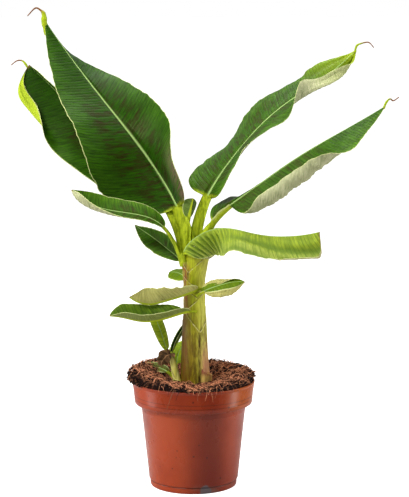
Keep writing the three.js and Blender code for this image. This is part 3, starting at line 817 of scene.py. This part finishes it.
def stemMaterial(name, aged):
    material, tree, shader = newMaterial(name)
    place = objectPlace(tree)
    fibres = useGroup(tree, fibreGroup, {"Place": place})
    fibre, mottling = fibres.outputs["Fibre"], fibres.outputs["Mottle"]
    parts = add(tree, "ShaderNodeSeparateXYZ", {"Vector": place})
    height, sideways = parts.outputs["Z"], parts.outputs["X"]
    mottle = between(tree, mottling, 0.4, 0.6)
    body = blend(tree, between(tree, height, 0.15, 0.225), stemTones["olive"], stemTones["green"])
    if aged:
        # painted light and shade: the stem's right side (+X) is painted pale and its lower left side darker,
        # as the light falls on it
        dim = product(tree, between(tree, sideways, 0.001, -0.011, (0.0, 0.75)),
                      between(tree, height, 0.235, 0.205))
        body = paint(
            tree, body,
            (between(tree, sideways, -0.002, 0.013, (0.0, 0.75)), stemTones["pale"]),
            (dim, stemTones["shaded"]),
            (product(tree, mottle, between(tree, height, 0.22, 0.15, (0.2, 0.75))), stemTones["tan"]),
            (product(tree, readValue(tree, "blush"), 0.8), stemTones["pink"]),
            (product(tree, readValue(tree, "old"), between(tree, mottle, 0.0, 1.0, (0.5, 0.95))),
             stemTones["brown"]))
    else:
        body = blend(tree, product(tree, mottle, 0.4), stemTones["young"], stemTones["youngPale"])
    # this mask breaks up the painted crevice shade
    worn = between(tree, mottling, 0.42, 0.6, (0.35, 0.85))
    # painted highlight: a pale band along the open sheath edges, broken up by the mottling
    frayed = between(tree, mottling, 0.38, 0.6, (0.05, 0.8))
    body = paint(
        tree, body,
        (product(tree, between(tree, fibre, 0.3, 0.7), 0.4 if aged else 0.15), stemTones["tan"]),
        # painted shade in the crevices at the sheath seams and inside each open V
        (product(tree, readValue(tree, "crevice"), worn), stemTones["crevice"]),
        (product(tree, readValue(tree, "margin"), frayed), stemTones["margin"]))
    dress(tree, shader, {"Base Color": body, "Roughness": between(tree, mottling, 0.3, 0.7, (0.4, 0.6)),
                         "Specular IOR Level": 0.2}, fibre, 0.5, 0.0005)
    return material


def around(angles, middle):  # signed turn from the middle, within half a circle either way
    return (angles - middle + math.pi) % (2 * math.pi) - math.pi


def stemPiece(name, stem, material):
    foot, top = np.array(stem["foot"], float), np.array(stem["top"], float)
    angles = 2 * math.pi * np.arange(stem["sides"]) / stem["sides"]
    points, traces = [], {"margin": [], "crevice": [], "old": [], "blush": []}
    for i in range(stem["levels"] + 1):
        t = i / stem["levels"]
        centre = lerp(foot, top, t) + np.array((along(stem["sway"], t), 0, 0))
        height = centre[2]
        radius = along(stem["radius"], t)
        layers, margin, crevice = (np.zeros(len(angles)) for _ in range(3))
        bare = np.ones(len(angles), bool)  # not yet under an outer sheath
        for sheath in stem["sheaths"]:
            seam = math.radians(sheath["leaf"] + 180 + sheath["lean"] * (sheath["fork"] - height) / 40)
            away = around(angles, seam)
            part = (height - sheath["fork"]) / (sheath["top"] - sheath["fork"])
            if part >= 1:
                continue
            gap = math.pi * max(part, 0)
            covers = np.abs(away) >= gap
            fromEdge = (np.abs(away) - gap) * radius
            if part > 0:
                # painted highlight along the edges of each open V
                margin = np.maximum(margin, bare * covers * (1 - smooth(0.3, 1.3, fromEdge)))
                # painted shade inside each open V, along the inner sheath
                crevice = np.maximum(crevice, 0.8 * bare * ~covers * (1 - smooth(0.2, 3.2, -fromEdge)))
            else:
                layers += np.where(away > 0, 1.2, 0.0) * (1 - smooth(2, 9, away * radius))
                # painted shade along the groove of the closed seam
                crevice = np.maximum(crevice, bare * (1 - smooth(0.6, 2.0, np.abs(away * radius + 1))))
            layers += covers
            bare &= ~covers
        lift = stem["overlap"] * (layers - 0.5 * len(stem["sheaths"]))
        wobble = np.array([0.35 * ripple(*polar(radius, a), height * 0.35, 9) for a in angles])
        r = radius + lift + wobble
        points.append(centre + np.stack([r * np.cos(angles), r * np.sin(angles), np.zeros(len(angles))], 1))
        browned = smooth(0, 0.8, np.clip(1 - np.abs(around(angles, math.radians(212))) / 0.9, 0, 1))
        browned = browned * lerp(0.45, 1, smooth(186, 222, height)) * (1 - smooth(248, 260, height))
        pink = smooth(0.55, 0.95, np.cos(angles + 0.35)) * (1 - smooth(138, 178, height))
        for key, value in (("margin", margin), ("crevice", crevice), ("old", browned),
                           ("blush", pink * smooth(112, 124, height))):
            traces[key].append(value)
    count = len(angles)
    faces = tubeFaces(0, stem["levels"], count)
    points = np.concatenate(points)
    values = {key: np.concatenate(parts) for key, parts in traces.items()}
    hubs = len(points)
    points = np.vstack([points, foot, top])
    values = {key: np.append(value, [0, 0]) for key, value in values.items()}
    last = stem["levels"] * count
    for j in range(count):
        faces.append((hubs, (j + 1) % count, j))
        faces.append((hubs + 1, last + j, last + (j + 1) % count))
    made = makeMesh(name, points, faces, [material])
    for key, value in values.items():
        setAttribute(made, key, value)
    keepSharp(made, 70)
    return made


finishPiece(stemPiece("stem_sheaths", stems["trunk"], stemMaterial("agedStem", True)),
            "pseudostem", slot="stem_green")
finishPiece(stemPiece("shoot_sheaths", stems["shoot"], stemMaterial("youngStem", False)),
            "shoot_stem", slot="stem_green")
print("stems ready")


# The cut stub of an old sheath.
stub = {
    "foot": (12.5, -10.5, 112), "top": (15.5, -12.5, 132), "radius": (7.5, 6.2), "slope": 3.5,
    "depth": 5, "wall": 1.3, "sides": 40, "levels": 7, "tornFrom": 8,  # height over the foot
}


def stubMaterial():
    material, tree, shader = newMaterial("cutSheath")
    place = objectPlace(tree)
    fibres = useGroup(tree, fibreGroup, {"Place": place})
    mottling = fibres.outputs["Mottle"]
    body = blend(tree, between(tree, mottling, 0.35, 0.65), tone(190, 158, 74), tone(136, 104, 42))
    height = add(tree, "ShaderNodeSeparateXYZ", {"Vector": place}).outputs["Z"]
    cut = product(tree, between(tree, height, 0.127, 0.132), between(tree, mottling, 0.3, 0.6, (0.4, 1.0)))
    body = blend(tree, cut, body, tone(122, 52, 34))
    dress(tree, shader, {"Base Color": body, "Roughness": 0.75}, fibres.outputs["Fibre"], 0.8, 0.0006)
    return material


def discToEdit(name, sides, radius, place):  # a filled circle, selected in edit mode
    bpy.ops.mesh.primitive_circle_add(vertices=sides, radius=radius, fill_type="NGON", location=place)
    made = bpy.context.object
    made.name = name
    bpy.ops.object.mode_set(mode="EDIT")
    bpy.ops.mesh.select_all(action="SELECT")
    return made


def leaveEdit():
    bpy.ops.mesh.select_all(action="SELECT")
    bpy.ops.mesh.normals_make_consistent(inside=False)
    bpy.ops.object.mode_set(mode="OBJECT")


def buildStub():
    foot, top = Vector(stub["foot"]) * mm, Vector(stub["top"]) * mm
    made = discToEdit("cut_sheath", stub["sides"], stub["radius"][0] * mm, foot)
    levels = stub["levels"]
    taper = (stub["radius"][1] / stub["radius"][0]) ** (1 / levels)
    for _ in range(levels):
        bpy.ops.mesh.extrude_region_move(TRANSFORM_OT_translate={"value": (top - foot) / levels})
        bpy.ops.transform.resize(value=(taper, taper, 1))
    bpy.ops.mesh.inset(thickness=stub["wall"] * mm)
    bpy.ops.mesh.extrude_region_move(TRANSFORM_OT_translate={"value": (0, 0, -stub["depth"] * mm)})
    bpy.ops.transform.resize(value=(0.8, 0.8, 1))
    leaveEdit()
    made.data.transform(made.matrix_world)
    made.matrix_world.identity()
    for vertex in made.data.vertices:  # a slanted, torn cut
        x, y, z = vertex.co / mm
        upper = smooth(stub["foot"][2] + stub["tornFrom"], stub["top"][2], z)
        z += upper * (-stub["slope"] * (x - top.x / mm) / 6 + 1.4 * ripple(x, y, 5, 3))
        x += 0.5 * ripple(x, y, z * 0.3, 5)
        vertex.co = Vector((x, y, z)) * mm
    made.data.materials.append(stubMaterial())
    keepSharp(made, 50)
    return made


finishPiece(buildStub(), "cut_stub", slot="cut_sheath")


pot = {
    "sides": 120, "bevel": 0.3, "bevelFrom": 38,
    "smudgeAt": (0.0135, -0.048, 0.004),  # metres, the middle of a grey patch of painted shade on the front of the foot
    "outside": [  # radius and height, from the foot to the lip
        (48.6, 0), (49.3, 0.7), (49.7, 6.4), (49.2, 6.9), (50.2, 7.7), (50.9, 8.4), (59.0, 87.0),
        (59.4, 87.5), (59.3, 94.6), (66.2, 95.3), (66.9, 96.2), (67.5, 100.9), (67.35, 101.2),
        (67.9, 105.4), (67.75, 105.7), (69.4, 117.3), (69.2, 117.7), (69.9, 119.8), (69.7, 120.6),
        (69.2, 121.0),
    ],
    "inside": [(68.5, 121.0), (68.1, 120.6), (67.9, 119.8), (65.0, 98.3), (57.3, 96.6), (57.2, 87.0),
               (48.5, 5.0), (47.5, 3.0)],
}
potTones = tones(
    # the dark colour is painted shade for the body and collar
    warm=(160, 64, 30), deep=(142, 50, 22), dark=(88, 22, 8),
    # a painted highlight on the collar takes the amber colour; the darkest colour here serves real specks and
    # painted shade in the grooves
    scuff=(196, 112, 78), amber=(176, 84, 22), speck=(48, 22, 14),
    # the grey colour paints shade low on the front of the foot
    mud=(110, 90, 78), smudge=(84, 78, 80))
potLines = [  # painted shade in the steps and grooves: its lower end, middle and upper end in metres
    (0.0055, 0.0068, 0.0082), (0.0935, 0.0948, 0.0962), (0.1003, 0.1011, 0.1018),
    (0.1048, 0.1056, 0.1062)]


def potMaterial():
    material, tree, shader = newMaterial("pottedPlastic")
    place = objectPlace(tree)
    parts = add(tree, "ShaderNodeSeparateXYZ", {"Vector": place})
    height, sideways = parts.outputs["Z"], parts.outputs["X"]
    cloud = grain(tree, place, 14.0, 4.0, 0.6)
    # painted shade: the body is painted darker from its middle to the right, and the collar darker except at
    # its left edge, as the light falls
    worn = product(tree, between(tree, sideways, -0.022, 0.02),
                   between(tree, sideways, 0.046, 0.022, (0.1, 1.0)))
    collar = product(tree, between(tree, height, 0.09, 0.097, (0.0, 0.55)),
                     between(tree, sideways, -0.06, -0.03))
    # painted highlight: a warm amber patch on the right of the collar
    amber = product(tree, between(tree, height, 0.093, 0.1),
                    between(tree, sideways, 0.03, 0.055, (0.0, 0.7)))
    scuffs = grain(tree, scaled(tree, place, (1.0, 1.0, 4.0)), 60.0, 5.0, 0.7)
    specks = add(tree, "ShaderNodeTexVoronoi", {"Vector": place, "Scale": 110.0}, feature="F1")
    dust = product(tree, between(tree, specks.outputs["Distance"], 0.16, 0.08),
                   between(tree, grain(tree, place, 30.0), 0.48, 0.58))
    body = paint(
        tree, blend(tree, between(tree, cloud, 0.35, 0.7), potTones["warm"], potTones["deep"]),
        # painted shade on the body and collar
        (mathNode(tree, "MAXIMUM", product(tree, worn, 0.75), collar), potTones["dark"]),
        # painted highlight on the collar
        (amber, potTones["amber"]),
        (product(tree, between(tree, scuffs, 0.62, 0.8), 0.15), potTones["scuff"]),
        (product(tree, dust, 0.8), potTones["speck"]))
    # painted shade: a dark line in each step and groove
    for low, middle, high in potLines:
        line = product(tree, between(tree, height, low, middle), between(tree, height, high, middle))
        body = blend(tree, product(tree, line, 0.6), body, potTones["speck"])
    soiled = product(tree, between(tree, height, 0.014, 0.0, (0.0, 0.5)),
                     between(tree, grain(tree, place, 60.0, 4.0), 0.5, 0.7))
    # painted shade: a grey patch low on the front of the foot, in place of a drainage notch in shade
    reach = add(tree, "ShaderNodeVectorMath", {0: place, 1: pot["smudgeAt"]}, operation="DISTANCE")
    smudge = mathNode(tree, "ADD", reach.outputs["Value"],
                      product(tree, grain(tree, place, 160.0, 3.0), 0.008))
    body = paint(tree, body, (soiled, potTones["mud"]),
                 (between(tree, smudge, 0.0115, 0.009, (0.0, 0.9)), potTones["smudge"]))
    waves = grain(tree, scaled(tree, place, (1.0, 1.0, 0.25)), 60.0, 3.0, 0.5)
    dress(tree, shader, {"Base Color": body, "Roughness": between(tree, cloud, 0.35, 0.7, (0.26, 0.36)),
                         "Specular IOR Level": 0.22}, waves, 0.25, 0.0006)
    return material


def buildPot():
    path = pot["outside"] + pot["inside"]
    made = discToEdit("nursery_pot", pot["sides"], path[0][0] * mm, (0, 0, 0))
    for (radius, height), (nextRadius, nextHeight) in zip(path, path[1:]):
        bpy.ops.mesh.extrude_region_move(TRANSFORM_OT_translate={"value": (0, 0, (nextHeight - height) * mm)})
        grow = nextRadius / radius
        bpy.ops.transform.resize(value=(grow, grow, 1), center_override=(0, 0, nextHeight * mm))
    leaveEdit()
    made.data.materials.append(potMaterial())
    onlySelect(made)
    bevel = made.modifiers.new("softCorners", "BEVEL")
    bevel.width, bevel.segments = pot["bevel"] * mm, 2
    bevel.limit_method, bevel.angle_limit = "ANGLE", math.radians(pot["bevelFrom"])
    bpy.ops.object.modifier_apply(modifier=bevel.name)
    keepSharp(made, 40)
    return made


finishPiece(buildPot(), "pot", slot="pot_plastic")
print("pot ready")


coir = {
    "level": 118.5, "ridgeRadius": 60, "ridgeSpread": 24, "frontHeap": 1, "backHeap": 10.5, "leftHeap": 6,
    "backShare": 0.45, "dip": 2, "dipSpread": 24, "edge": 67.5, "rings": 70, "sides": 180, "lump": 1.8,
    "chips": 3400, "strands": 2000, "coarse": 0.45, "ledgeChips": 420, "spill": 0.07, "seed": 7,
    "rimRadius": 69.5, "rimTop": 121.6, "droop": 0.9,  # how a fibre lies on the rim and past it
    "strandPoints": 6, "strandSides": 3, "strandShades": (0.3, 0.5, 0.7, 0.85, 1.0),
    "chipShades": (0.0, 0.0, 0.03, 0.08, 0.2, 0.5), "wide": 1.06, "narrow": 0.86, "looseShare": 0.15,
    "ledge": {"radius": (66, 74), "low": 122, "high": 130, "slope": 3.5},
    "walls": [(48.0, 3.4), (48.4, 5.2), (56.9, 87.2), (56.9, 96.9), (64.7, 98.6)],  # inside the pot
}
coirTones = tones(dark=(10, 4, 2), red=(54, 22, 12), pale=(216, 144, 104))


def coirHeight(radius, angle):
    back = (1 + math.sin(angle)) / 2
    left = max(0.0, -math.cos(angle))
    heap = coir["frontHeap"] + coir["backHeap"] * back ** coir["backShare"] + coir["leftHeap"] * left
    ridge = math.exp(-((radius - coir["ridgeRadius"]) / coir["ridgeSpread"]) ** 2)
    return coir["level"] - coir["dip"] * math.exp(-(radius / coir["dipSpread"]) ** 2) + heap * ridge


def coirSurface(radius, angle):
    x, y = polar(radius, angle)
    rough = coir["lump"] * (ripple(x, y, 0, 9) + 0.6 * ripple(x, y, 4, 4) + 0.35 * ripple(x, y, 8, 1.9))
    return coirHeight(radius, angle) + rough


def coirMaterial(name):
    material, tree, shader = newMaterial(name)
    place = objectPlace(tree)
    shade = readValue(tree, "shade")
    clods = grain(tree, place, 260.0, 5.0, 0.7)
    body = paint(
        tree, blend(tree, between(tree, clods, 0.3, 0.7), coirTones["dark"], coirTones["red"]),
        (between(tree, shade, 0.35, 0.9), coirTones["pale"]),
        (between(tree, shade, 0.3, 0.0, (0.0, 0.75)), coirTones["dark"]))
    dress(tree, shader, {"Base Color": body, "Roughness": 0.95, "Specular IOR Level": 0.2},
          clods, 0.9, 0.001)
    return material


def buildCoir():
    rng = random.Random(coir["seed"])
    points, faces, shades = [], [], []
    sides, rings = coir["sides"], coir["rings"]
    turns = [2 * math.pi * j / sides for j in range(sides)]
    for radius, height in coir["walls"]:
        points += [(*polar(radius, a), height) for a in turns]
        shades += [0.3] * sides
    walls = len(coir["walls"])
    for k in range(rings):
        radius = coir["edge"] * (1 - k / rings)
        points += [(*polar(radius, a), coirSurface(radius, a)) for a in turns]
        shades += [0.25 + 0.25 * ripple(*polar(radius, a), 30, 3) for a in turns]
    faces += tubeFaces(0, walls + rings - 1, sides)
    points += [(0, 0, coir["walls"][0][1]), (0, 0, coirSurface(0, 0))]
    shades += [0.3, 0.3]
    for j in range(sides):
        k = (j + 1) % sides
        faces.append((len(points) - 2, k, j))
        last = (walls + rings - 1) * sides
        faces.append((len(points) - 1, last + j, last + k))

    def scatter(most):
        angle = rng.uniform(0, 2 * math.pi)
        spill = 1 + coir["spill"] * max(0.0, -math.cos(angle)) ** 3
        radius = coir["edge"] * math.sqrt(rng.uniform(0.02, most)) * spill
        return Vector((*polar(radius, angle), coirSurface(radius, angle)))

    def addShape(corners, polygons, shade):
        start = len(points)
        points.extend(tuple(corner) for corner in corners)
        shades.extend([shade] * len(corners))
        faces.extend(tuple(start + index for index in polygon) for polygon in polygons)

    block = [(0, 3, 2, 1), (4, 5, 6, 7), (0, 1, 5, 4), (1, 2, 6, 5), (2, 3, 7, 6), (3, 0, 4, 7)]

    def addChip(spot):
        size = (rng.uniform(1.0, 3.4), rng.uniform(0.6, 1.6), rng.uniform(0.4, 1.2))
        turn = Vector((rng.gauss(0, 1), rng.gauss(0, 1), rng.gauss(0, 0.7))).to_track_quat("X", "Z")
        corners = []
        for z in (-1, 1):
            for x, y in ((-1, -1), (1, -1), (1, 1), (-1, 1)):
                jitter = rng.uniform(0.45, 1.0)
                deep = z * size[2] * rng.uniform(0.5, 1)
                corner = Vector((x * size[0] * jitter, y * size[1] * jitter, deep))
                corners.append(spot + turn @ corner + Vector((0, 0, 0.5)))
        addShape(corners, block, rng.choice(coir["chipShades"]))

    for _ in range(coir["chips"]):  # broken chips of husk
        addChip(scatter(coir["wide"]))
    for _ in range(coir["ledgeChips"]):  # a clump that leans out over the rim
        ledge = coir["ledge"]
        angle = math.pi + rng.gauss(0.05, 0.3)
        out = rng.uniform(0, 1)
        height = rng.uniform(ledge["low"], ledge["high"] - ledge["slope"] * out)
        addChip(Vector((*polar(lerp(*ledge["radius"], out), angle), height)))
    for _ in range(coir["strands"]):  # loose curled fibres
        here = scatter(coir["wide"] if rng.random() < coir["looseShare"] else coir["narrow"])
        way = rng.uniform(0, 2 * math.pi)
        length = rng.uniform(6, 20)
        bend = rng.uniform(-1.4, 1.4)
        thick = rng.uniform(0.35, 0.6) if rng.random() < coir["coarse"] else rng.uniform(0.14, 0.32)
        arch = rng.uniform(0.8, 4.2)
        count, ring, corners = coir["strandPoints"], coir["strandSides"], []
        for i in range(count):
            t = i / (count - 1)
            if i:
                step = Vector((math.cos(way + bend * t), math.sin(way + bend * t), 0))
                here = here + step * (length / (count - 1))
            far = math.hypot(here.x, here.y)
            lay = coirSurface(min(far, coir["edge"]), math.atan2(here.y, here.x))
            if far > coir["edge"]:
                lay = max(lay, coir["rimTop"]) - max(0, far - coir["rimRadius"]) * coir["droop"]
            centre = Vector((here.x, here.y, lay + 0.3 + arch * math.sin(math.pi * t)))
            side = Vector((-math.sin(way + bend * t), math.cos(way + bend * t), 0))
            r = thick * (1 - 0.6 * t)
            for k in range(ring):
                a = 2 * math.pi * k / ring
                corners.append(centre + side * (r * math.cos(a)) + Vector((0, 0, r * math.sin(a))))
        polygons = [(0, 1, 2), tuple(reversed([(count - 1) * ring + k for k in range(ring)]))]
        for i in range(count - 1):
            for k in range(ring):
                a, b = i * ring + k, i * ring + (k + 1) % ring
                polygons.append((a, a + ring, b + ring, b))
        addShape(corners, polygons, rng.choice(coir["strandShades"]))
    made = makeMesh("coir_filling", points, faces, [coirMaterial("coirFibre")])
    setAttribute(made, "shade", shades)
    keepSharp(made, 40)
    return made


finishPiece(buildCoir(), "soil", slot="coir")
print("filling ready")
